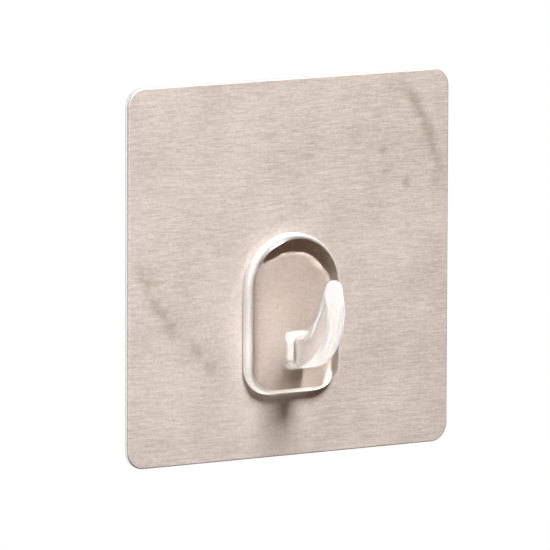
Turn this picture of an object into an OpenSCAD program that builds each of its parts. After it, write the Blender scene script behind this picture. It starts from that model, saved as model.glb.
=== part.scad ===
// Adhesive wall hook: a clear moulded hook bonded to a square brushed steel face plate.
// Behind the plate lie a sheet of gel adhesive and the film that covers it until it is stuck to a wall.
// Millimetres. The origin is the middle of the back face, +Y points into the wall, +Z points up.

/* [Face plate] */
// Width and height of the square plate
plate_w = 70; // [50:1:100]
// Radius of the plate's four corners
plate_corner_r = 3.4; // [1:0.1:8]
// Thickness of the steel sheet
plate_t = 0.4; // [0.3:0.05:1]
// Radius rolled onto the front edge when the plate is blanked
plate_edge_r = 0.25; // [0.1:0.05:0.3]

/* [Adhesive and liner] */
// Thickness of the gel adhesive sheet
adhesive_t = 0.5; // [0.2:0.05:1.5]
// How far the adhesive stays inside the plate's outline
adhesive_inset = 0.3; // [0.1:0.1:2]
// Thickness of the peel-off film
liner_t = 0.1; // [0.05:0.01:0.3]

/* [Hook base] */
// Width of the hook's base pad, which is also the diameter of its arched top
base_w = 20.5; // [16:0.5:26]
// Height of the base pad
base_h = 29.75; // [26:0.25:36]
// Thickness of the base pad
base_t = 2.4; // [2.3:0.1:4]
// Radius of the two bottom corners of the base pad
base_corner_r = 5.5; // [3:0.1:7]
// Radius of the rounded edge all round the front of the base pad
base_edge_r = 2.2; // [0.5:0.1:2.3]
// Height of the base pad's bottom edge above the plate's bottom edge
base_lift = 11.8; // [5:0.1:14]
// Thickness of the clear bond between the base pad and the plate
bond_t = 0.15; // [0.05:0.01:0.4]
// How far the bond stays inside the outline of the base pad
bond_inset = 0.4; // [0.1:0.1:2]

/* [Hook arm] */
// How far the arm's outer face stands in front of the base pad
arm_reach = 14; // [12:0.1:20]
// Height of the arm where it leaves the base pad
arm_root_h = 6.2; // [5:0.1:8]
// Height of the arm's underside above the base pad's bottom edge
arm_lift = 5.1; // [4:0.1:7]
// How far the flat floor of the throat runs out from the base pad
throat_run = 3.7; // [2:0.1:6]
// Radius of the throat, where its floor turns up towards the tip
throat_r = 3.2; // [1.5:0.1:5]
// Radius of the heel, the outside of the bend
heel_r = 12; // [9:0.1:13]
// Height of the tip above the floor of the throat
tip_rise = 11.2; // [9:0.1:14]
// Height over which the tip rounds off
tip_round_h = 1.8; // [1:0.1:2.5]
// Half the thickness of the arm where the tip starts to round off
tip_half_t = 1; // [0.6:0.05:1.4]
// How far the tip leans back from the arm's outermost face
tip_lean = 0.7; // [0:0.1:1.5]
// How much narrower each side of the tip is at its very end
tip_shoulder = 1.4; // [0.6:0.1:1.6]
// Width of the arm at its root
arm_root_w = 4.2; // [3.6:0.1:6]
// Width of the arm where the tip starts to round off
arm_tip_w = 3.8; // [3.4:0.1:5]
// Radius of the arm's long edges
arm_edge_r = 1.2; // [0.4:0.05:1.6]
// Radius of the fillet between the arm and the base pad
root_fillet_r = 0.5; // [0.2:0.1:1]

/* [Moulding core] */
// Wall left round the core, the pocket moulded into the arm's root from behind
core_wall = 1.1; // [0.8:0.05:1.4]
// How far the core runs past the front of the base pad
core_depth = 1.2; // [0.5:0.1:5]
// Radius of the core's long corners
core_corner_r = 0.5; // [0.2:0.05:0.6]

/* [Hidden] */
$fn = 64;

// Distance of each layer's back from the wall
adhesive_back = liner_t;
plate_back = adhesive_back + adhesive_t;
bond_back = plate_back + plate_t;
base_back = bond_back + bond_t;
base_front = base_back + base_t;

// Heights, from the middle of the plate
plate_top = plate_w / 2;
base_bottom = base_lift - plate_top;
base_top = base_bottom + base_h;
arm_bottom = base_bottom + arm_lift;
throat_floor = arm_bottom + arm_root_h;

// Places on the arm's side profile, as [distance from the wall, height]
root_back = base_front - base_t / 2;
arm_front = base_front + arm_reach;
heel_round = min(heel_r, arm_reach - root_fillet_r);
heel_centre = [arm_front - heel_round, arm_bottom + heel_round];
throat_centre = [base_front + throat_run, throat_floor + throat_r];
tip_centre = [arm_front - tip_lean - tip_half_t, throat_floor + tip_rise - tip_round_h];
tip_inner = tip_centre - [tip_half_t, 0];
tip_outer = tip_centre + [tip_half_t, 0];

// Angle that the throat turns through before it runs straight up to the tip
throat_to_tip = tip_inner - throat_centre;
throat_turn = atan2(throat_to_tip[1], throat_to_tip[0]) + asin(throat_r / norm(throat_to_tip));

// Steps along the arm and round its section
fillet_steps = 5;
bend_steps = 16;
upright_steps = 5;
cap_steps = 6;
cap_angle = 82;
corner_steps = 5;
// Most of a section's side that the radius of one edge may take
edge_share = 0.48;

// Stands a drawing up against the wall, at a distance from it, with its thickness growing into the room.
module on_wall(distance) {
    rotate([90, 0, 0]) translate([0, 0, distance]) children();
}

// Outline with one radius for the two top corners and another for the two bottom corners.
module outline(w, bottom, top, top_r, bottom_r) {
    translate([-w / 2, bottom + bottom_r]) square([w, top - top_r - bottom - bottom_r]);
    for (end = [[top - top_r, top_r], [bottom + bottom_r, bottom_r]]) {
        flat = w / 2 - end[1];
        if (flat > 0) translate([-flat, end[0] - end[1]]) square([2 * flat, 2 * end[1]]);
        for (side = [-1, 1]) translate([side * flat, end[0]]) circle(end[1]);
    }
}

// Section from the middle of a plate out to its edge, with the front of the edge rounded.
module edge_section(reach, t, edge_r) {
    square([reach, t - edge_r]);
    square([reach - edge_r, t]);
    intersection() {
        translate([reach - edge_r, t - edge_r]) circle(edge_r);
        square([reach, t]);
    }
}

// Section right across a plate, from one edge to the other.
module full_section(reach, t, edge_r) {
    for (side = [0, 1]) mirror([side, 0]) edge_section(reach, t, edge_r);
}

// Plate of that outline and thickness whose front edge is rounded all the way round.
// Its strips and corner discs overlap, so that no seam is left between them.
module soft_edged_plate(w, bottom, top, top_r, bottom_r, t, edge_r) {
    side_length = top - top_r - bottom - bottom_r;
    translate([0, top - top_r, 0]) rotate([90, 0, 0]) linear_extrude(side_length)
        full_section(w / 2, t, edge_r);
    for (end = [[top - top_r, top_r], [bottom + bottom_r, bottom_r]]) {
        flat = w / 2 - end[1];
        for (side = flat > 0 ? [-1, 1] : [0]) translate([side * flat, end[0], 0])
            rotate_extrude() edge_section(end[1], t, edge_r);
        if (flat > 0) translate([0, end[0], 0]) rotate([90, 0, 90]) linear_extrude(2 * flat, center = true)
            full_section(end[1], t, edge_r);
    }
}

// Points of an arc in the arm's side profile.
function arc(centre, r, from, to, steps) =
    [for (i = [0 : steps]) let (a = from + (to - from) * i / steps) centre + r * [cos(a), sin(a)]];

// One station of the arm: its inner edge, its outer edge and its width.
function station(inner, outer, w) = [inner, outer, w];

// Width of the arm at a share of the way from its root to its tip.
function arm_width(share) = arm_root_w + (arm_tip_w - arm_root_w) * share;

// Root, from inside the base pad out through the fillet.
root_stations = concat(
    [station([root_back, throat_floor + root_fillet_r], [root_back, arm_bottom - root_fillet_r],
             arm_root_w + 2 * root_fillet_r)],
    [for (i = [0 : fillet_steps])
        let (a = 90 * i / fillet_steps)
        let (out = base_front + root_fillet_r * (1 - cos(a)))
        let (flare = root_fillet_r * (1 - sin(a)))
        station([out, throat_floor + flare], [out, arm_bottom - flare], arm_root_w + 2 * flare)]);

// Bend, between the throat and the heel.
bend_inner = arc(throat_centre, throat_r, -90, throat_turn - 90, bend_steps);
bend_outer = arc(heel_centre, heel_round, -90, 0, bend_steps);
bend_stations = [for (i = [0 : bend_steps])
    station(bend_inner[i], bend_outer[i], arm_width(i / (bend_steps + upright_steps)))];

// Upright, from the bend to where the tip starts to round off.
upright_stations = [for (i = [1 : upright_steps])
    let (share = i / upright_steps)
    station(bend_inner[bend_steps] + (tip_inner - bend_inner[bend_steps]) * share,
            bend_outer[bend_steps] + (tip_outer - bend_outer[bend_steps]) * share,
            arm_width((bend_steps + i) / (bend_steps + upright_steps)))];

// Cap, where the tip rounds over in both directions.
cap_stations = [for (i = [1 : cap_steps])
    let (a = cap_angle * i / cap_steps)
    let (middle = tip_centre + [0, tip_round_h * sin(a)])
    let (half = [tip_half_t * cos(a), 0])
    station(middle - half, middle + half, arm_tip_w - 2 * tip_shoulder * (1 - cos(a)))];

arm_stations = concat(root_stations, bend_stations, upright_stations, cap_stations);

// Ring of points round one station: a rectangle with rounded corners.
function ring(s) =
    let (middle = (s[0] + s[1]) / 2)
    let (span = s[1] - s[0])
    let (t = norm(span))
    let (r = min(arm_edge_r, edge_share * t, edge_share * s[2]))
    [for (corner = [0 : 3], k = [0 : corner_steps])
        let (a = 90 * (corner + k / corner_steps))
        let (x = (s[2] / 2 - r) * sign(cos(90 * corner + 45)) + r * cos(a))
        let (y = (t / 2 - r) * sign(sin(90 * corner + 45)) + r * sin(a))
        let (place = middle + span / t * y)
        [x, place[1], place[0]]];

// Solid skinned over the rings, closed at both ends.
module skin(rings) {
    n = len(rings[0]);
    last = len(rings) - 1;
    sides = [for (i = [0 : last - 1], k = [0 : n - 1])
        let (a = i * n + k)
        let (b = i * n + (k + 1) % n)
        each [[a, b, a + n], [b, b + n, a + n]]];
    back = [for (k = [0 : n - 1]) n - 1 - k];
    front = [for (k = [0 : n - 1]) last * n + k];
    polyhedron([for (r = rings) each r], concat(sides, [back, front]));
}

module face_plate() {
    color("tan") on_wall(plate_back)
        soft_edged_plate(plate_w, -plate_top, plate_top, plate_corner_r, plate_corner_r,
                         plate_t, plate_edge_r);
}

module adhesive_sheet() {
    edge = plate_top - adhesive_inset;
    corner_r = max(plate_corner_r - adhesive_inset, plate_t);
    color("ivory") on_wall(adhesive_back) linear_extrude(adhesive_t)
        outline(2 * edge, -edge, edge, corner_r, corner_r);
}

module release_liner() {
    color("aliceblue") on_wall(0) linear_extrude(liner_t)
        outline(plate_w, -plate_top, plate_top, plate_corner_r, plate_corner_r);
}

module hook_bond() {
    w = base_w - 2 * bond_inset;
    color("white", 0.5) on_wall(bond_back) linear_extrude(bond_t)
        outline(w, base_bottom + bond_inset, base_top - bond_inset, w / 2, base_corner_r - bond_inset);
}

// Space of the pocket moulded into the root, cut from behind the base pad's back face.
module core() {
    w = arm_root_w - 2 * core_wall;
    translate([0, 0, bond_back]) linear_extrude(bond_t + base_t + core_depth)
        outline(w, arm_bottom + core_wall, throat_floor - core_wall, core_corner_r, core_corner_r);
}

module hook() {
    color("whitesmoke", 0.6) on_wall(0) difference() {
        union() {
            translate([0, 0, base_back])
                soft_edged_plate(base_w, base_bottom, base_top, base_w / 2, base_corner_r,
                                 base_t, base_edge_r);
            skin([for (s = arm_stations) ring(s)]);
        }
        core();
    }
}

face_plate();
adhesive_sheet();
release_liner();
hook_bond();
hook();
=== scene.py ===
"""Adhesive wall hook: brushed steel face plate, clear moulded hook, gel adhesive and its peel-off film.

Everything is in metres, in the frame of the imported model: the origin is the middle of the back face,
+Y points into the wall and +Z points up, so a piece stands out from the wall along -Y.
"""
import logging
import math
from dataclasses import dataclass
from enum import Enum, IntEnum

import bmesh
import bpy
from mathutils import Matrix, Vector


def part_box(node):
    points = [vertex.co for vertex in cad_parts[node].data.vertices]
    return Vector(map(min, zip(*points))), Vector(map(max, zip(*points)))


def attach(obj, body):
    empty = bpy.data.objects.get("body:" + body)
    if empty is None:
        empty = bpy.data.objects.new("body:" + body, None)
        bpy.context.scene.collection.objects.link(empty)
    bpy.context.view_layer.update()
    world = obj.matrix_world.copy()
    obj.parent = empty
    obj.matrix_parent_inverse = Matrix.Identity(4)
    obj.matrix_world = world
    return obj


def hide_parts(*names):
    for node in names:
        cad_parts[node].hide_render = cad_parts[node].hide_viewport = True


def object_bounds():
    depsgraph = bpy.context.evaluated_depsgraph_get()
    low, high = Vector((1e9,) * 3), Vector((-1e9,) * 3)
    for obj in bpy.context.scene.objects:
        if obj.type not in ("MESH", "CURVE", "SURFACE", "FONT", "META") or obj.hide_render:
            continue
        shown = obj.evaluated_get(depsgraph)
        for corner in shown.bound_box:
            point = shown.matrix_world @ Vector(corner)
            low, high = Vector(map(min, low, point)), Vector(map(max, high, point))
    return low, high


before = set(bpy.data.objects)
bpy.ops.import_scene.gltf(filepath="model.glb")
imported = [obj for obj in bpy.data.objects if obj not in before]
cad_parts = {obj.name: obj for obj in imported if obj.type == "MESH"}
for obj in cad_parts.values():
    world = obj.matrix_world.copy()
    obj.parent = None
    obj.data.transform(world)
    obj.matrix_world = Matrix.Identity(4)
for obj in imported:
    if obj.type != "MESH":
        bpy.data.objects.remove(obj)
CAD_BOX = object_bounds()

Colour = tuple[float, float, float]
Point = tuple[float, float, float]
Span = tuple[float, float]
Socket = bpy.types.NodeSocket
Edge = bmesh.types.BMEdge
Face = bmesh.types.BMFace

LOG = logging.getLogger("wall_hook")
MM = 0.001
# Air left between two clear pieces whose faces touch
SEAT_GAP = 0.004 * MM
# Points of an outline that are no further apart than this are one
SAME_POINT = 0.004 * MM
# Edges that turn more sharply than this stay crisp
CRISP_ANGLE = math.radians(40)
# Largest share of the arm's thickness or width that the radius of its edges takes
LARGEST_ROUNDING = 0.48
# Values of the noise at which a soft patch begins and is full
SOFT_EDGES: Span = (0.3, 0.7)
# UV map that lies along the plate's brushing
BRUSHING_UV = "brushing"
WHITE: Colour = (1.0, 1.0, 1.0)


class Body(Enum):
    """Bodies that the pieces move with."""

    PLATE = "hook_and_plate"
    FILM = "film"


class Slot(Enum):
    """Finishes that the record names."""

    PLATE = "brushed_plate"
    GEL = "gel_adhesive"
    FILM = "peel_film"
    BOND = "clear_bond"
    MOULDING = "clear_moulding"


class Zone(IntEnum):
    """Places on the hook with a finish of their own, by the number of its material; the rim has several."""

    CLEAR = 0
    ARM = 1
    POCKET = 2
    SIDE = 3
    RIM = 4


class Wiring:
    """Adds shader nodes to a tree and wires them by the names of their sockets."""

    def __init__(self, tree: bpy.types.NodeTree) -> None:
        """Keeps the tree that the nodes go into."""
        self.tree = tree

    def add(self, kind: str, inputs: dict | None = None, **settings: object) -> bpy.types.Node:
        """Adds one node.

        Args:
            kind: Type of the node, without its ShaderNode prefix.
            inputs: Values, or sockets to wire in, by the input's name or number.
            settings: Attributes of the node, such as its operation.

        Returns:
            The new node.
        """
        node = self.tree.nodes.new("ShaderNode" + kind)
        for name, value in settings.items():
            setattr(node, name, value)
        for name, value in (inputs or {}).items():
            if isinstance(value, Socket):
                self.tree.links.new(value, node.inputs[name])
            else:
                node.inputs[name].default_value = value
        return node

    def math(self, operation: str, *values: float | Socket) -> Socket:
        """Adds a Math node on the values and returns its result."""
        return self.add("Math", dict(enumerate(values)), operation=operation).outputs[0]

    def remap(self, value: Socket, start: float | Socket, end: float | Socket,
              low: float = 0.0, high: float = 1.0) -> Socket:
        """Maps start..end smoothly to low..high and returns the result."""
        inputs = {"Value": value, 1: start, 2: end, 3: low, 4: high}
        return self.add("MapRange", inputs, interpolation_type="SMOOTHSTEP").outputs[0]

    def mix(self, share: float | Socket, first: Colour | Socket, second: Colour | Socket) -> Socket:
        """Mixes two colours by the share of the second and returns the result."""
        inputs = {0: share, 6: opaque(first), 7: opaque(second)}
        return self.add("Mix", inputs, data_type="RGBA").outputs[2]

    def noise(self, vector: Socket, scale: float | Socket, detail: float) -> Socket:
        """Adds a noise texture of that scale and detail and returns its value, from 0 to 1."""
        inputs = {"Vector": vector, "Scale": scale, "Detail": detail}
        return self.add("TexNoise", inputs).outputs["Fac"]

    def position(self) -> Socket:
        """Returns the place on the piece, in metres, in the shared frame."""
        return self.add("TexCoord").outputs["Object"]

    def group(self, tree: bpy.types.NodeTree, inputs: dict) -> Socket:
        """Places a node group with its own values and returns its first output."""
        return self.add("Group", inputs, node_tree=tree).outputs[0]


def opaque(colour: Colour | Socket) -> tuple | Socket:
    """Returns a colour with full alpha, or the socket as it is."""
    return colour if isinstance(colour, Socket) else (*colour, 1.0)


def new_group(name: str, inputs: dict[str, str],
              output: str) -> tuple[Wiring, bpy.types.NodeOutputs, bpy.types.NodeInputs]:
    """Starts a node group with named inputs and one value as its output.

    Args:
        name: Name of the group.
        inputs: Socket type of each input, by the input's name.
        output: Name of the output.

    Returns:
        Wiring of the group, its input node's outputs and its output node's inputs.
    """
    tree = bpy.data.node_groups.new(name, "ShaderNodeTree")
    for socket, kind in inputs.items():
        tree.interface.new_socket(socket, in_out="INPUT", socket_type=kind)
    tree.interface.new_socket(output, in_out="OUTPUT", socket_type="NodeSocketFloat")
    source = tree.nodes.new("NodeGroupInput").outputs
    sink = tree.nodes.new("NodeGroupOutput").inputs
    return Wiring(tree), source, sink


class Effects:
    """Surface effects that several finishes share, each a node group that is built once."""

    def __init__(self) -> None:
        """Builds the groups."""
        self.streaks = self._streaks()
        self.mottle = self._mottle()
        self.specks = self._specks()
        self.stain = self._stain()

    def patches(self, wiring: Wiring, place: Socket, size: float, edges: Span = SOFT_EDGES) -> Socket:
        """Places soft patches of that size between those values of the noise and returns their mask."""
        return wiring.group(self.mottle, {"Vector": place, "Size": size, "From": edges[0], "To": edges[1]})

    @staticmethod
    def _streaks() -> bpy.types.NodeTree:
        """Builds the group of fine lines drawn along X, with their length and thickness as inputs.

        Returns:
            The group.
        """
        kinds = {"Vector": "NodeSocketVector", "Length": "NodeSocketFloat", "Thickness": "NodeSocketFloat"}
        wiring, source, sink = new_group("drawn streaks", kinds, "Streak")
        size = wiring.add("CombineXYZ", {0: source["Length"], 1: source["Length"], 2: source["Thickness"]})
        place = wiring.add("VectorMath", {0: source["Vector"], 1: size.outputs[0]}, operation="DIVIDE")
        wiring.tree.links.new(wiring.noise(place.outputs[0], 1.0, detail=3.0), sink["Streak"])
        return wiring.tree

    @staticmethod
    def _mottle() -> bpy.types.NodeTree:
        """Builds the group of soft patches, with their size and the edges of the mask as inputs.

        Returns:
            The group.
        """
        kinds = {"Vector": "NodeSocketVector", "Size": "NodeSocketFloat",
                 "From": "NodeSocketFloat", "To": "NodeSocketFloat"}
        wiring, source, sink = new_group("soft mottle", kinds, "Mask")
        scale = wiring.math("DIVIDE", 1.0, source["Size"])
        cloud = wiring.noise(source["Vector"], scale, detail=4.0)
        wiring.tree.links.new(wiring.remap(cloud, source["From"], source["To"]), sink["Mask"])
        return wiring.tree

    @staticmethod
    def _specks() -> bpy.types.NodeTree:
        """Builds the group of scattered specks, with their spacing and radius as inputs.

        Returns:
            The group.
        """
        kinds = {"Vector": "NodeSocketVector", "Spacing": "NodeSocketFloat", "Radius": "NodeSocketFloat"}
        wiring, source, sink = new_group("scattered specks", kinds, "Mask")
        scale = wiring.math("DIVIDE", 1.0, source["Spacing"])
        cells = wiring.add("TexVoronoi", {"Vector": source["Vector"], "Scale": scale})
        distance = wiring.math("MULTIPLY", cells.outputs["Distance"], source["Spacing"])
        wiring.tree.links.new(wiring.remap(distance, source["Radius"], 0.0), sink["Mask"])
        return wiring.tree

    @staticmethod
    def _stain() -> bpy.types.NodeTree:
        """Builds the group of a stain along an arc in the plate's plane, or of a spot if the radius is 0.

        Returns:
            The group.
        """
        kinds = {"Vector": "NodeSocketVector", "Centre": "NodeSocketVector"}
        kinds |= dict.fromkeys(("Radius", "Width", "Start", "End", "Fade"), "NodeSocketFloat")
        wiring, source, sink = new_group("arc stain", kinds, "Mask")
        away = wiring.add("VectorMath", {0: source["Vector"], 1: source["Centre"]}, operation="SUBTRACT")
        flat = wiring.add("VectorMath", {0: away.outputs[0], 1: (1, 0, 1)}, operation="MULTIPLY").outputs[0]
        distance = wiring.add("VectorMath", {0: flat}, operation="LENGTH").outputs["Value"]
        across = wiring.math("ABSOLUTE", wiring.math("SUBTRACT", distance, source["Radius"]))
        mask = wiring.remap(across, source["Width"], 0.0)
        sides = wiring.add("SeparateXYZ", {0: flat}).outputs
        turn = wiring.math("ARCTAN2", sides["Z"], sides["X"])
        for edge, sign in (("Start", 1.0), ("End", -1.0)):
            inward = wiring.math("MULTIPLY", wiring.math("SUBTRACT", turn, source[edge]), sign)
            mask = wiring.math("MULTIPLY", mask, wiring.remap(inward, 0.0, source["Fade"]))
        wiring.tree.links.new(mask, sink["Mask"])
        return wiring.tree


class Finish:
    """A material and the Principled shader that it is built round."""

    def __init__(self, name: str) -> None:
        """Starts a material with its Principled shader.

        Args:
            name: Name of the material.
        """
        self.material = bpy.data.materials.new(name)
        self.material.use_nodes = True
        self.wiring = Wiring(self.material.node_tree)
        self.shader = self.material.node_tree.nodes["Principled BSDF"]

    def set(self, **values: object) -> None:
        """Sets or wires the shader's inputs.

        Args:
            values: Values, or sockets to wire in, by the input's name with underscores for its spaces.
        """
        for name, value in values.items():
            socket = self.shader.inputs[name.replace("_", " ")]
            if isinstance(value, Socket):
                self.wiring.tree.links.new(value, socket)
            else:
                socket.default_value = value

    def bump(self, height: Socket, depth: float, strength: float = 1.0) -> None:
        """Roughens the surface by a height map of that depth in metres."""
        inputs = {"Height": height, "Distance": depth, "Strength": strength}
        self.set(Normal=self.wiring.add("Bump", inputs).outputs[0])


@dataclass(frozen=True)
class Stain:
    """A faint mark left by handling: an arc whose angles are in degrees, or a spot if its radius is 0."""

    centre: Point
    radius: float
    width: float
    start: float = -181
    end: float = 181
    fade: float = 1


@dataclass(frozen=True)
class BrushedSteel:
    """Steel sheet with a fine horizontal brushing, cloudy and marked from handling."""

    light: Colour = (0.81, 0.74, 0.69)
    dark: Colour = (0.50, 0.44, 0.395)
    roughness: float = 0.65
    roughness_spread: float = 0.04
    anisotropy: float = 0.5
    streak_length: float = 3 * MM
    streak_thickness: float = 0.16 * MM
    streak_depth: float = 0.004 * MM
    streak_edges: Span = (0.2, 0.8)
    streak_share: float = 0.6
    bump_strength: float = 0.5
    cloud_size: float = 14 * MM
    cloud_share: float = 0.2
    grain_size: float = 0.6 * MM
    grain_share: float = 0.2
    stain: Colour = (0.36, 0.29, 0.235)
    stain_strength: float = 0.5
    stain_patch_size: float = 2.5 * MM
    stain_patch_edges: Span = (0.3, 0.65)
    stains: tuple[Stain, ...] = (
        Stain((5.4 * MM, 0, 13.2 * MM), 27.2 * MM, 2.2 * MM, -12, 52, 14),
        Stain((5.4 * MM, 0, 13.2 * MM), 27.0 * MM, 0.9 * MM, 16, 34, 6),
        Stain((15.8 * MM, 0, 24.8 * MM), 53.4 * MM, 2.8 * MM, -160, -122, 8),
        Stain((20.4 * MM, 0, 20.5 * MM), 0, 1.5 * MM),
        Stain((16.9 * MM, 0, 16.4 * MM), 0, 1.4 * MM),
        Stain((21.1 * MM, 0, 16.3 * MM), 0, 1.3 * MM),
        Stain((25.8 * MM, 0, 14.2 * MM), 0, 1.7 * MM),
        Stain((19.4 * MM, 0, 11.0 * MM), 0, 1.6 * MM))

    def material(self, effects: Effects) -> bpy.types.Material:
        """Builds the finish.

        Args:
            effects: Shared effect groups.

        Returns:
            The material.
        """
        finish = Finish("brushed_steel")
        wiring = finish.wiring
        place = wiring.position()
        sizes = {"Vector": place, "Length": self.streak_length, "Thickness": self.streak_thickness}
        streak = wiring.group(effects.streaks, sizes)
        cloud = wiring.math("MULTIPLY", effects.patches(wiring, place, self.cloud_size), self.cloud_share)
        tone = wiring.math("MULTIPLY_ADD", streak, self.streak_share, cloud)
        grain = effects.patches(wiring, place, self.grain_size)
        tone = wiring.math("MULTIPLY_ADD", grain, self.grain_share, tone)
        brushed = wiring.mix(tone, self.dark, self.light)
        tangent = wiring.add("Tangent", direction_type="UV_MAP", uv_map=BRUSHING_UV)
        finish.set(Base_Color=wiring.mix(self._stained(wiring, place, effects), brushed, self.stain),
                   Metallic=1.0, Anisotropic=self.anisotropy, Tangent=tangent.outputs[0],
                   Roughness=wiring.remap(streak, *self.streak_edges, self.roughness - self.roughness_spread,
                                          self.roughness + self.roughness_spread))
        finish.bump(streak, self.streak_depth, self.bump_strength)
        return finish.material

    def _stained(self, wiring: Wiring, place: Socket, effects: Effects) -> Socket:
        """Masks the stains, which are broken up by soft patches and lie on the plate's front alone.

        Args:
            wiring: Wiring of the plate's material.
            place: Place on the plate.
            effects: Shared effect groups.

        Returns:
            The mask of all stains.
        """
        marks: float | Socket = 0.0
        for stain in self.stains:
            inputs = {"Vector": place, "Centre": stain.centre, "Radius": stain.radius, "Width": stain.width,
                      "Start": math.radians(stain.start), "End": math.radians(stain.end),
                      "Fade": math.radians(stain.fade)}
            marks = wiring.math("MAXIMUM", marks, wiring.group(effects.stain, inputs))
        patchy = effects.patches(wiring, place, self.stain_patch_size, self.stain_patch_edges)
        mask = wiring.math("MULTIPLY", wiring.math("MULTIPLY", marks, self.stain_strength), patchy)
        depth = wiring.add("SeparateXYZ", {0: place}).outputs["Y"]
        middle = sum(corner.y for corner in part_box("face_plate")) / 2
        return wiring.math("MULTIPLY", mask, wiring.math("LESS_THAN", depth, middle))


@dataclass(frozen=True)
class ClearMoulding:
    """Clear plastic, polished on the pad and milky at the pad's outer edge, on the arm and in the pocket."""

    tint: Colour = (0.955, 0.95, 0.945)
    milk: Colour = (0.97, 0.965, 0.955)
    index: float = 1.56
    roughness: float = 0.12
    haze_size: float = 8 * MM
    haze_edges: Span = (0.2, 0.8)
    haze_gain: float = 0.02
    arm_clear: float = 0.74
    arm_roughness: float = 0.25
    pocket_clear: float = 0.6
    pocket_roughness: float = 0.5
    side_clear: float = 0.91
    side_roughness: float = 0.15
    rim_clear: tuple[float, ...] = (0.95, 0.88, 0.78, 0.65, 0.55)
    rim_roughness: float = 0.35

    def material(self, effects: Effects) -> bpy.types.Material:
        """Builds the polished finish.

        Args:
            effects: Shared effect groups.

        Returns:
            The material.
        """
        finish = Finish("clear_moulding")
        wiring = finish.wiring
        haze = effects.patches(wiring, wiring.position(), self.haze_size, self.haze_edges)
        finish.set(Base_Color=opaque(self.tint), Transmission_Weight=1.0, IOR=self.index,
                   Roughness=wiring.remap(haze, 0.0, 1.0, self.roughness, self.roughness + self.haze_gain))
        return finish.material

    def milky(self) -> list[bpy.types.Material]:
        """Builds the finishes of the milky zones.

        Returns:
            The materials, in the order of their zones.
        """
        made = [self._cloudy("cloudy_arm", self.arm_clear, self.arm_roughness),
                self._cloudy("frosted_pocket", self.pocket_clear, self.pocket_roughness),
                self._cloudy("hazy_side", self.side_clear, self.side_roughness)]
        for number, clear in enumerate(self.rim_clear):
            made.append(self._cloudy(f"cloudy_rim_{number}", clear, self.rim_roughness))
        return made

    def _cloudy(self, name: str, clear: float, roughness: float) -> bpy.types.Material:
        """Builds one milky finish.

        Args:
            name: Name of the material.
            clear: Share of the light that goes through, where the rest is scattered.
            roughness: Roughness of the surface.

        Returns:
            The material.
        """
        finish = Finish(name)
        finish.set(Base_Color=opaque(self.milk), Transmission_Weight=clear, IOR=self.index,
                   Roughness=roughness)
        return finish.material


@dataclass(frozen=True)
class ClearLayer:
    """Clear soft layer with small bubbles and cloudy patches: the bond, the gel or the film."""

    name: str
    tint: Colour
    index: float
    roughness: float
    bubble_spacing: float
    bubble_radius: float
    bubble_depth: float
    patch_size: float
    patch_edges: Span = (0.4, 0.7)
    patch_share: float = 0.4
    cloudy_gain: float = 0.25

    def material(self, effects: Effects) -> bpy.types.Material:
        """Builds the finish.

        Args:
            effects: Shared effect groups.

        Returns:
            The material.
        """
        finish = Finish(self.name)
        wiring = finish.wiring
        place = wiring.position()
        sizes = {"Vector": place, "Spacing": self.bubble_spacing, "Radius": self.bubble_radius}
        bubbles = wiring.group(effects.specks, sizes)
        patches = effects.patches(wiring, place, self.patch_size, self.patch_edges)
        cloudy = wiring.math("MAXIMUM", bubbles, wiring.math("MULTIPLY", patches, self.patch_share))
        finish.set(Base_Color=opaque(self.tint), Transmission_Weight=1.0, IOR=self.index,
                   Roughness=wiring.remap(cloudy, 0.0, 1.0, self.roughness,
                                          self.roughness + self.cloudy_gain))
        finish.bump(cloudy, self.bubble_depth)
        return finish.material


GEL = ClearLayer("clear_gel", tint=(0.95, 0.955, 0.94), index=1.45, roughness=0.04,
                 bubble_spacing=3.2 * MM, bubble_radius=0.55 * MM, bubble_depth=0.12 * MM, patch_size=6 * MM)
FILM = ClearLayer("polyester_film", tint=(0.93, 0.955, 0.97), index=1.5, roughness=0.02,
                  bubble_spacing=9 * MM, bubble_radius=0.9 * MM, bubble_depth=0.05 * MM, patch_size=12 * MM)
BOND = ClearLayer("cured_bond", tint=(0.995, 0.992, 0.985), index=1.0, roughness=0.0,
                  bubble_spacing=0.8 * MM, bubble_radius=0.1 * MM, bubble_depth=0.0, patch_size=2 * MM)


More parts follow.
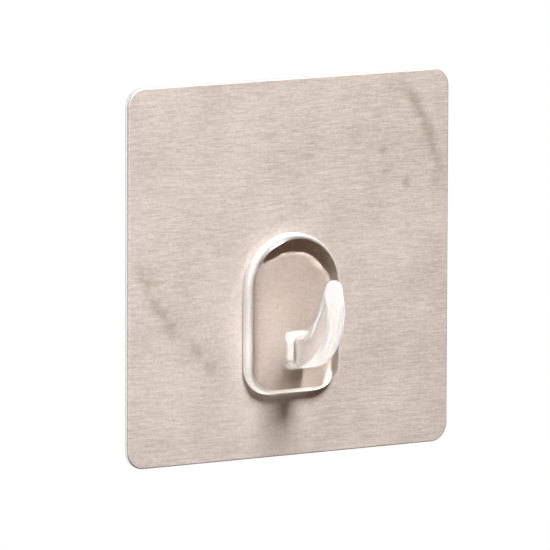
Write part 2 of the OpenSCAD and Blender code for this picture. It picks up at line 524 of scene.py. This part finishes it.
@dataclass(frozen=True)
class Outline:
    """Upright outline with one radius for its top corners and another for its bottom corners."""

    half_w: float
    bottom: float
    top: float
    top_r: float
    bottom_r: float

    def inset(self, amount: float) -> "Outline":
        """Returns the outline drawn in by that amount all round."""
        return Outline(self.half_w - amount, self.bottom + amount, self.top - amount,
                       self.top_r - amount, self.bottom_r - amount)

    def loop(self, mesh: bmesh.types.BMesh, y: float, steps: int) -> list[Edge]:
        """Draws the outline by spinning a point round each corner.

        Args:
            mesh: Mesh that the outline goes into.
            y: Place of the outline's plane.
            steps: Edges in each corner.

        Returns:
            Edges of the closed outline.
        """
        corners = [(self.half_w - self.bottom_r, self.bottom + self.bottom_r, self.bottom_r),
                   (self.half_w - self.top_r, self.top - self.top_r, self.top_r),
                   (self.top_r - self.half_w, self.top - self.top_r, self.top_r),
                   (self.bottom_r - self.half_w, self.bottom + self.bottom_r, self.bottom_r)]
        ends = []
        for number, (x, z, radius) in enumerate(corners):
            turn = math.pi / 2 * (number - 1)
            centre = Vector((x, y, z))
            first = mesh.verts.new(centre + radius * Vector((math.cos(turn), 0, math.sin(turn))))
            made = bmesh.ops.spin(mesh, geom=[first], cent=centre, axis=(0, -1, 0),
                                  angle=math.pi / 2, steps=steps)
            last = next(v for v in made["geom_last"] if isinstance(v, bmesh.types.BMVert))
            ends.append((first, last))
        for (_, last), (first, _) in zip(ends, ends[1:] + ends[:1]):
            if (last.co - first.co).length > SAME_POINT:
                mesh.edges.new((last, first))
            else:
                bmesh.ops.pointmerge(mesh, verts=[last, first], merge_co=first.co)
        return loop_edges(ends[0][0])


def loop_edges(start: bmesh.types.BMVert) -> list[Edge]:
    """Walks round the closed wire loop that a vertex lies on.

    Args:
        start: Vertex of the loop.

    Returns:
        Edges of the loop, in order.
    """
    edges = [start.link_edges[0]]
    vertex = edges[0].other_vert(start)
    while vertex is not start:
        edges.append(next(e for e in vertex.link_edges if e is not edges[-1]))
        vertex = edges[-1].other_vert(vertex)
    return edges


def slab(mesh: bmesh.types.BMesh, outline: Outline, back: float, front: float, steps: int) -> list[Edge]:
    """Makes a flat piece of an outline.

    Args:
        mesh: Mesh that the piece goes into.
        outline: Shape of the piece.
        back: Place of the face towards the wall.
        front: Place of the face towards the room.
        steps: Edges in each corner.

    Returns:
        Edges round the front face.
    """
    face = bmesh.ops.contextual_create(mesh, geom=outline.loop(mesh, back, steps))["faces"][0]
    made = bmesh.ops.extrude_face_region(mesh, geom=[face])["geom"]
    moved = [v for v in made if isinstance(v, bmesh.types.BMVert)]
    bmesh.ops.translate(mesh, verts=moved, vec=(0, front - back, 0))
    top = next(f for f in made if isinstance(f, Face))
    return list(top.edges)


def round_over(mesh: bmesh.types.BMesh, edges: list[Edge], radius: float, segments: int) -> None:
    """Rounds edges over to a radius."""
    bmesh.ops.bevel(mesh, geom=edges, offset=radius, offset_type="OFFSET", affect="EDGES",
                    segments=segments, profile=0.5, material=-1, clamp_overlap=False)


def put_in_order(mesh: bmesh.types.BMesh) -> None:
    """Sorts edges and faces by their vertices, since the operators' own order varies from run to run.

    Args:
        mesh: Mesh to sort.
    """
    mesh.verts.index_update()
    count = len(mesh.verts)

    def rank(item: Edge | Face) -> int:
        """Returns a number made of the item's lowest vertices, which no other edge or face has."""
        lowest = sorted(vertex.index for vertex in item.verts)[:3]
        return sum(index * count ** power for power, index in enumerate(reversed(lowest)))

    mesh.edges.sort(key=rank)
    mesh.faces.sort(key=rank)


@dataclass
class Piece:
    """A finished piece: its name, and the part of the model that it stands for."""

    name: str
    node: str
    body: Body
    slot: Slot

    def place(self, mesh: bmesh.types.BMesh, material: bpy.types.Material) -> bpy.types.Object:
        """Puts the piece into the scene.

        Args:
            mesh: Mesh of the piece, which is freed.
            material: Finish of the piece.

        Returns:
            The piece's object.
        """
        bmesh.ops.recalc_face_normals(mesh, faces=mesh.faces)
        put_in_order(mesh)
        data = bpy.data.meshes.new(self.name)
        mesh.to_mesh(data)
        mesh.free()
        data.shade_smooth()
        data.set_sharp_from_angle(angle=CRISP_ANGLE)
        data.materials.append(material)
        made = bpy.data.objects.new(self.name, data)
        bpy.context.scene.collection.objects.link(made)
        weighted = made.modifiers.new("even_shading", "WEIGHTED_NORMAL")
        weighted.keep_sharp = True
        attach(made, self.body.value)
        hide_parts(self.node)
        LOG.info("%s: %d faces, rides on %s", self.name, len(data.polygons), self.body.value)
        return made


@dataclass
class FacePlate:
    """Square sheet of brushed steel whose front edge is rolled over by the blanking die."""

    corner_r: float = 3.4 * MM
    corner_steps: int = 24
    edge_r: float = 0.25 * MM
    edge_steps: int = 6

    def build(self, effects: Effects) -> None:
        """Builds and dresses the plate.

        Args:
            effects: Shared effect groups.
        """
        low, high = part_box("face_plate")
        outline = Outline(high.x, low.z, high.z, self.corner_r, self.corner_r)
        mesh = bmesh.new()
        rim = slab(mesh, outline, high.y, low.y, self.corner_steps)
        round_over(mesh, rim, self.edge_r, self.edge_steps)
        brushing = mesh.loops.layers.uv.new(BRUSHING_UV)
        for face in mesh.faces:
            for corner in face.loops:
                corner[brushing].uv = (corner.vert.co.z, corner.vert.co.x)
        plate = Piece("steel_plate", "face_plate", Body.PLATE, Slot.PLATE)
        plate.place(mesh, BrushedSteel().material(effects))


@dataclass
class Backing:
    """Gel adhesive over the plate's back, and the film that covers it."""

    plate_corner_r: float = 3.4 * MM
    corner_steps: int = 16
    gel_edge_r: float = 0.2 * MM
    film_edge_r: float = 0.03 * MM
    edge_steps: int = 4

    def build(self, effects: Effects) -> None:
        """Builds and dresses the gel sheet and the film.

        Args:
            effects: Shared effect groups.
        """
        gel = Piece("gel_sheet", "adhesive_sheet", Body.PLATE, Slot.GEL)
        film = Piece("peel_film", "release_liner", Body.FILM, Slot.FILM)
        self._sheet(gel, self.gel_edge_r, GEL.material(effects))
        self._sheet(film, self.film_edge_r, FILM.material(effects))

    def _sheet(self, piece: Piece, edge_r: float, material: bpy.types.Material) -> None:
        """Builds one flat layer, a hair thinner than its place so that no two faces coincide.

        Args:
            piece: Piece that the layer becomes.
            edge_r: Radius of its front edge.
            material: Finish of the layer.
        """
        low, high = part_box(piece.node)
        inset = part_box("face_plate")[1].x - high.x
        corner_r = self.plate_corner_r - inset
        outline = Outline(high.x, low.z, high.z, corner_r, corner_r)
        mesh = bmesh.new()
        rim = slab(mesh, outline, high.y, low.y + SEAT_GAP, self.corner_steps)
        round_over(mesh, rim, edge_r, self.edge_steps)
        piece.place(mesh, material)


@dataclass(frozen=True)
class Station:
    """Section of the arm: its inner and outer edge, as distance from the wall and height, and its width."""

    inner: Vector
    outer: Vector
    width: float

    def point(self, number: int, corner_points: int, edge_r: float) -> Vector:
        """Places one point of the section's ring, a rectangle with rounded corners.

        Args:
            number: Place of the point in the ring.
            corner_points: Points in each of the ring's four corners.
            edge_r: Radius of the corners.

        Returns:
            The point in the shared frame.
        """
        span = self.outer - self.inner
        thickness = span.length
        radius = min(edge_r, LARGEST_ROUNDING * thickness, LARGEST_ROUNDING * self.width)
        corner, step = divmod(number, corner_points)
        turn = math.pi / 2 * (corner + step / (corner_points - 1))
        side = 1 if corner in (0, 3) else -1
        face = 1 if corner in (0, 1) else -1
        across = side * (self.width / 2 - radius) + radius * math.cos(turn)
        along = face * (thickness / 2 - radius) + radius * math.sin(turn)
        centre = (self.inner + self.outer) / 2 + span / thickness * along
        return Vector((across, -centre.x, centre.y))


@dataclass
class HookMoulding:
    """Clear hook: a pad with an arched top, and a J-shaped arm that grows out of it round a pocket."""

    pad_t: float = 2.4 * MM
    pad_corner_r: float = 5.5 * MM
    pad_steps: int = 40
    pad_edge_r: float = 2.2 * MM
    pad_edge_steps: int = 16
    rim_start: float = math.radians(32)
    rim_band: float = math.radians(6)
    arm_root_h: float = 6.2 * MM
    arm_lift: float = 5.1 * MM
    throat_run: float = 3.7 * MM
    throat_r: float = 3.2 * MM
    heel_r: float = 12 * MM
    tip_rise: float = 11.2 * MM
    tip_round_h: float = 1.8 * MM
    tip_half_t: float = 1 * MM
    tip_lean: float = 0.7 * MM
    tip_shoulder: float = 1.4 * MM
    arm_root_w: float = 4.2 * MM
    arm_tip_w: float = 3.8 * MM
    arm_edge_r: float = 1.2 * MM
    root_fillet_r: float = 0.5 * MM
    corner_points: int = 10
    fillet_steps: int = 8
    bend_steps: int = 48
    upright_steps: int = 32
    cap_steps: int = 16
    cap_turn: float = math.radians(85)
    easing_passes: int = 24
    pocket_wall: float = 1.1 * MM
    pocket_depth: float = 1.2 * MM
    pocket_corner_r: float = 0.5 * MM
    pocket_steps: int = 8
    pocket_end_r: float = 0.3 * MM
    pocket_end_steps: int = 4
    bond_steps: int = 24

    def __post_init__(self) -> None:
        """Works out the places that the sizes and the frame give."""
        low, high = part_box("hook")
        self.back = high.y
        self.front = high.y - self.pad_t
        self.outline = Outline(high.x, low.z, high.z, high.x, self.pad_corner_r)
        self.arm_front = -low.y
        self.arm_bottom = low.z + self.arm_lift
        self.throat_floor = self.arm_bottom + self.arm_root_h

    def build(self, effects: Effects) -> None:
        """Builds and dresses the moulding and the bond behind it.

        Args:
            effects: Shared effect groups.
        """
        finish = ClearMoulding()
        mesh = bmesh.new()
        self._pad(mesh, len(finish.rim_clear))
        self._arm(mesh)
        self._pocket(mesh)
        piece = Piece("clear_hook", "hook", Body.PLATE, Slot.MOULDING)
        hook = piece.place(mesh, finish.material(effects))
        for material in finish.milky():
            hook.data.materials.append(material)
        self._bond(effects)

    def _pad(self, mesh: bmesh.types.BMesh, bands: int) -> None:
        """Makes the pad, whose rounded edge turns milky outwards in bands.

        Args:
            mesh: Mesh that the pad goes into.
            bands: Number of finishes on the edge.
        """
        rim = slab(mesh, self.outline, self.back, self.front, self.pad_steps)
        round_over(mesh, rim, self.pad_edge_r, self.pad_edge_steps)
        mesh.normal_update()
        for face in mesh.faces:
            lean = math.acos(min(1.0, abs(face.normal.y)))
            band = min(int((lean - self.rim_start) / self.rim_band), bands - 1)
            face.material_index = Zone.RIM + band if lean > self.rim_start else Zone.CLEAR

    def stations(self) -> list[Station]:
        """Works out the arm's sections.

        Returns:
            The sections, from the pad's face to the tip.
        """
        pad_face = -self.front
        root = []
        for step in range(self.fillet_steps):
            turn = math.pi / 2 * step / self.fillet_steps
            out = pad_face + self.root_fillet_r * (1 - math.cos(turn))
            flare = self.root_fillet_r * (1 - math.sin(turn))
            root.append(Station(Vector((out, self.throat_floor + flare)),
                                Vector((out, self.arm_bottom - flare)), self.arm_root_w + 2 * flare))
        throat = Vector((pad_face + self.throat_run, self.throat_floor + self.throat_r))
        heel = Vector((self.arm_front - self.heel_r, self.arm_bottom + self.heel_r))
        tip = Vector((self.arm_front - self.tip_lean - self.tip_half_t,
                      self.throat_floor + self.tip_rise - self.tip_round_h))
        half = Vector((self.tip_half_t, 0))
        reach = tip - half - throat
        turned = math.atan2(reach.y, reach.x) + math.asin(self.throat_r / reach.length)
        rising = []
        for step in range(self.bend_steps + 1):
            share = step / self.bend_steps
            inner = throat + self.throat_r * direction(turned * share - math.pi / 2)
            outer = heel + self.heel_r * direction(math.pi / 2 * (share - 1))
            rising.append((inner, outer))
        inner_end, outer_end = rising[-1]
        for step in range(1, self.upright_steps + 1):
            share = step / self.upright_steps
            rising.append((inner_end.lerp(tip - half, share), outer_end.lerp(tip + half, share)))
        sections = []
        for step, (inner, outer) in enumerate(rising):
            share = step / (len(rising) - 1)
            width = self.arm_root_w + (self.arm_tip_w - self.arm_root_w) * share
            sections.append(Station(inner, outer, width))
        for step in range(1, self.cap_steps + 1):
            turn = self.cap_turn * step / self.cap_steps
            middle = tip + Vector((0, self.tip_round_h * math.sin(turn)))
            sections.append(Station(middle - half * math.cos(turn), middle + half * math.cos(turn),
                                    self.arm_tip_w - 2 * self.tip_shoulder * (1 - math.cos(turn))))
        return root + self._eased(sections)

    def _eased(self, sections: list[Station]) -> list[Station]:
        """Smooths away the corners between the arm's curves.

        Args:
            sections: Sections of the arm.

        Returns:
            The smoothed sections, with the first and the last as they were.
        """
        for _ in range(self.easing_passes):
            eased = [sections[0]]
            for before, here, after in zip(sections, sections[1:], sections[2:]):
                eased.append(Station((before.inner + 2 * here.inner + after.inner) / 4,
                                     (before.outer + 2 * here.outer + after.outer) / 4,
                                     (before.width + 2 * here.width + after.width) / 4))
            sections = eased + [sections[-1]]
        return sections

    def _arm(self, mesh: bmesh.types.BMesh) -> None:
        """Grows the arm out of the pad's face, one section at a time.

        Args:
            mesh: Mesh of the pad.
        """
        pad_face = max((f for f in mesh.faces if f.normal.y < 0), key=lambda f: f.calc_area())
        edge = list(pad_face.edges)
        mesh.faces.remove(pad_face)
        number = mesh.verts.layers.int.new("place_in_ring")
        ring = bmesh.ops.create_circle(mesh, segments=4 * self.corner_points, radius=1.0)["verts"]
        for count, vertex in enumerate(ring):
            vertex[number] = count
        root = edges = loop_edges(ring[0])
        pad = set(mesh.faces)
        for count, station in enumerate(self.stations()):
            if count:
                made = bmesh.ops.extrude_edge_only(mesh, edges=edges)["geom"]
                ring = [v for v in made if isinstance(v, bmesh.types.BMVert)]
                kept = set(ring)
                edges = [e for e in made if isinstance(e, Edge) and set(e.verts) <= kept]
            for vertex in ring:
                vertex.co = station.point(vertex[number], self.corner_points, self.arm_edge_r)
        # The tip's face starts at the ring's first point in every run
        mesh.faces.new(sorted(ring, key=lambda vertex: vertex[number]))
        # The flat sides lie between corners 0 and 3, and between 1 and 2, of the section's ring
        for face in set(mesh.faces) - pad:
            corners = {v[number] // self.corner_points for v in face.verts}
            face.material_index = Zone.SIDE if corners in ({0, 3}, {1, 2}) else Zone.ARM
        bmesh.ops.triangle_fill(mesh, use_beauty=True, edges=edge + root, normal=(0, -1, 0))

    def _pocket(self, mesh: bmesh.types.BMesh) -> None:
        """Sinks the moulded pocket into the back, through the pad and a little way into the arm's root.

        Args:
            mesh: Mesh of the pad and the arm.
        """
        pad_back = max((f for f in mesh.faces if f.normal.y > 0), key=lambda f: f.calc_area())
        edge = list(pad_back.edges)
        mesh.faces.remove(pad_back)
        mouth = Outline(self.arm_root_w / 2 - self.pocket_wall, self.arm_bottom + self.pocket_wall,
                        self.throat_floor - self.pocket_wall, self.pocket_corner_r, self.pocket_corner_r)
        edges = mouth.loop(mesh, self.back, self.pocket_steps)
        made = bmesh.ops.extrude_edge_only(mesh, edges=edges)["geom"]
        moved = [v for v in made if isinstance(v, bmesh.types.BMVert)]
        bmesh.ops.translate(mesh, verts=moved, vec=(0, -self.pad_t - self.pocket_depth, 0))
        kept = set(moved)
        floor = [e for e in made if isinstance(e, Edge) and set(e.verts) <= kept]
        bmesh.ops.contextual_create(mesh, geom=floor)
        for face in {f for e in edges for f in e.link_faces}:
            face.material_index = Zone.POCKET
        bmesh.ops.triangle_fill(mesh, use_beauty=True, edges=edge + edges, normal=(0, 1, 0))
        round_over(mesh, floor, self.pocket_end_r, self.pocket_end_steps)

    def _bond(self, effects: Effects) -> None:
        """Builds and dresses the clear bond between the pad and the plate.

        Args:
            effects: Shared effect groups.
        """
        low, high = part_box("hook_bond")
        outline = self.outline.inset(self.outline.half_w - high.x)
        mesh = bmesh.new()
        slab(mesh, outline, high.y - SEAT_GAP, low.y + SEAT_GAP, self.bond_steps)
        Piece("cured_bond", "hook_bond", Body.PLATE, Slot.BOND).place(mesh, BOND.material(effects))


def direction(turn: float) -> Vector:
    """Returns the unit vector at that angle in the arm's side profile."""
    return Vector((math.cos(turn), math.sin(turn)))


def compass(azimuth: float, elevation: float) -> Vector:
    """Returns the direction from the plate out into the room, turned to the right by azimuth and raised."""
    level = math.cos(elevation)
    return Vector((math.sin(azimuth) * level, -math.cos(azimuth) * level, math.sin(elevation)))


@dataclass
class PhotoCamera:
    """Long lens that looks at the plate from the left and a little above."""

    azimuth: float = math.radians(-32.698)
    elevation: float = math.radians(7.805)
    roll: float = math.radians(0.198)
    distance: float = 1644.275 * MM
    slide_right: float = -2.734 * MM
    slide_up: float = -1.397 * MM
    lens: float = 584.6

    def build(self) -> None:
        """Sets the camera up, aimed near the middle of the plate's front face."""
        back = compass(self.azimuth, self.elevation)
        right = Vector((0, 0, 1)).cross(back).normalized()
        up = back.cross(right)
        turn = Matrix((right, up, back)).transposed() @ Matrix.Rotation(self.roll, 3, "Z")
        target = Vector((0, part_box("face_plate")[0].y, 0))
        place = target + turn @ Vector((self.slide_right, self.slide_up, self.distance))
        data = bpy.data.cameras.new("camera")
        data.lens = self.lens
        camera = bpy.data.objects.new("camera", data)
        camera.matrix_world = Matrix.Translation(place) @ turn.to_4x4()
        bpy.context.scene.collection.objects.link(camera)
        bpy.context.scene.camera = camera


@dataclass(frozen=True)
class Softbox:
    """Square lamp in the room that is turned to the plate."""

    name: str
    azimuth: float
    elevation: float
    size: float
    power: float
    distance: float = 3.0

    def hang(self) -> None:
        """Hangs the lamp in its place."""
        towards = compass(self.azimuth, self.elevation)
        data = bpy.data.lights.new(self.name, "AREA")
        data.shape = "SQUARE"
        data.size = self.size
        data.energy = self.power
        lamp = bpy.data.objects.new(self.name, data)
        lamp.matrix_world = (Matrix.Translation(towards * self.distance)
                             @ towards.to_track_quat("Z", "Y").to_matrix().to_4x4())
        bpy.context.scene.collection.objects.link(lamp)


@dataclass
class Studio:
    """Soft key light above and a weaker one at the left, a pale floor, a white backdrop and a dim room."""

    lamps: tuple[Softbox, ...] = (
        Softbox("key", math.radians(8), math.radians(53), size=0.88, power=222.0),
        Softbox("fill", math.radians(-86), math.radians(12), size=1.0, power=34.0))
    floor_drop: float = 0.16
    floor_radius: float = 0.7
    floor_segments: int = 96
    floor_colour: Colour = (0.86, 0.86, 0.855)
    floor_roughness: float = 0.9
    room_colour: Colour = (0.09, 0.052, 0.03)
    backdrop_low: Colour = (0.35, 0.35, 0.35)
    backdrop_high: Colour = (1.2, 1.2, 1.2)
    backdrop_slope: float = math.radians(45)
    backdrop_fade: float = 0.15
    surround_colour: Colour = (0.10, 0.038, 0.01)
    card_colour: Colour = (1.5, 1.5, 1.5)
    card_azimuth: Span = (math.radians(-110), math.radians(-35))
    card_elevation: Span = (math.radians(-70), math.radians(55))
    card_fade: float = math.radians(8)
    bounces: int = 32
    clear_bounces: int = 24
    glossy_bounces: int = 16
    brightest_sample: float = 80.0

    def build(self) -> None:
        """Builds the floor, the lamps and the world."""
        self._floor()
        for lamp in self.lamps:
            lamp.hang()
        self._world()
        scene = bpy.context.scene
        scene.view_settings.view_transform = "Standard"
        scene.cycles.max_bounces = self.bounces
        scene.cycles.transmission_bounces = self.clear_bounces
        scene.cycles.glossy_bounces = self.glossy_bounces
        scene.cycles.blur_glossy = 0.0
        scene.cycles.sample_clamp_indirect = self.brightest_sample

    def _floor(self) -> None:
        """Lays a pale round floor well below the plate."""
        mesh = bmesh.new()
        bmesh.ops.create_circle(mesh, cap_ends=True, segments=self.floor_segments, radius=self.floor_radius)
        bmesh.ops.translate(mesh, verts=mesh.verts, vec=(0, 0, CAD_BOX[0].z - self.floor_drop))
        data = bpy.data.meshes.new("floor")
        mesh.to_mesh(data)
        mesh.free()
        finish = Finish("pale_floor")
        finish.set(Base_Color=opaque(self.floor_colour), Roughness=self.floor_roughness)
        data.materials.append(finish.material)
        floor = bpy.data.objects.new("floor", data)
        bpy.context.scene.collection.objects.link(floor)
        floor.visible_glossy = floor.visible_transmission = False

    def _world(self) -> None:
        """Surrounds the scene with a backdrop behind the plate and a room in front, seen as white."""
        world = bpy.data.worlds.new("studio")
        world.use_nodes = True
        bpy.context.scene.world = world
        wiring = Wiring(world.node_tree)
        sides = wiring.add("SeparateXYZ", {0: wiring.add("TexCoord").outputs["Generated"]}).outputs
        azimuth = wiring.math("ARCTAN2", sides["X"], wiring.math("MULTIPLY", sides["Y"], -1.0))
        elevation = wiring.math("ARCSINE", sides["Z"])
        path = wiring.add("LightPath").outputs
        # Light that left through a clear piece meets a dark surround with one white card
        card = wiring.math("MULTIPLY", self._within(wiring, azimuth, self.card_azimuth),
                           self._within(wiring, elevation, self.card_elevation))
        surround = wiring.mix(card, self.surround_colour, self.card_colour)
        room = wiring.mix(path["Is Transmission Ray"], self.room_colour, surround)
        height = wiring.remap(elevation, -self.backdrop_slope, self.backdrop_slope)
        backdrop = wiring.mix(height, self.backdrop_low, self.backdrop_high)
        behind = wiring.remap(sides["Y"], 0.0, self.backdrop_fade)
        lit = wiring.mix(behind, room, backdrop)
        # The camera sees white, also straight through clear pieces
        turns = wiring.math("ADD", path["Glossy Depth"], path["Diffuse Depth"])
        through = wiring.math("GREATER_THAN", path["Is Transmission Ray"], turns)
        seen = wiring.math("MAXIMUM", path["Is Camera Ray"], through)
        background = world.node_tree.nodes["Background"]
        world.node_tree.links.new(wiring.mix(seen, lit, WHITE), background.inputs["Color"])

    def _within(self, wiring: Wiring, angle: Socket, span: Span) -> Socket:
        """Masks the angles that lie within a span, with soft ends.

        Args:
            wiring: Wiring of the world.
            angle: Azimuth or elevation.
            span: Lowest and highest angle.

        Returns:
            The mask.
        """
        half = self.card_fade / 2
        above = wiring.remap(angle, span[0] - half, span[0] + half)
        below = wiring.remap(angle, span[1] + half, span[1] - half)
        return wiring.math("MULTIPLY", above, below)


def main() -> None:
    """Builds the object and the studio round it."""
    logging.basicConfig(level=logging.INFO, format="%(message)s")
    effects = Effects()
    for part in (FacePlate(), Backing(), HookMoulding()):
        part.build(effects)
    PhotoCamera().build()
    Studio().build()


if __name__ == "__main__":
    main()
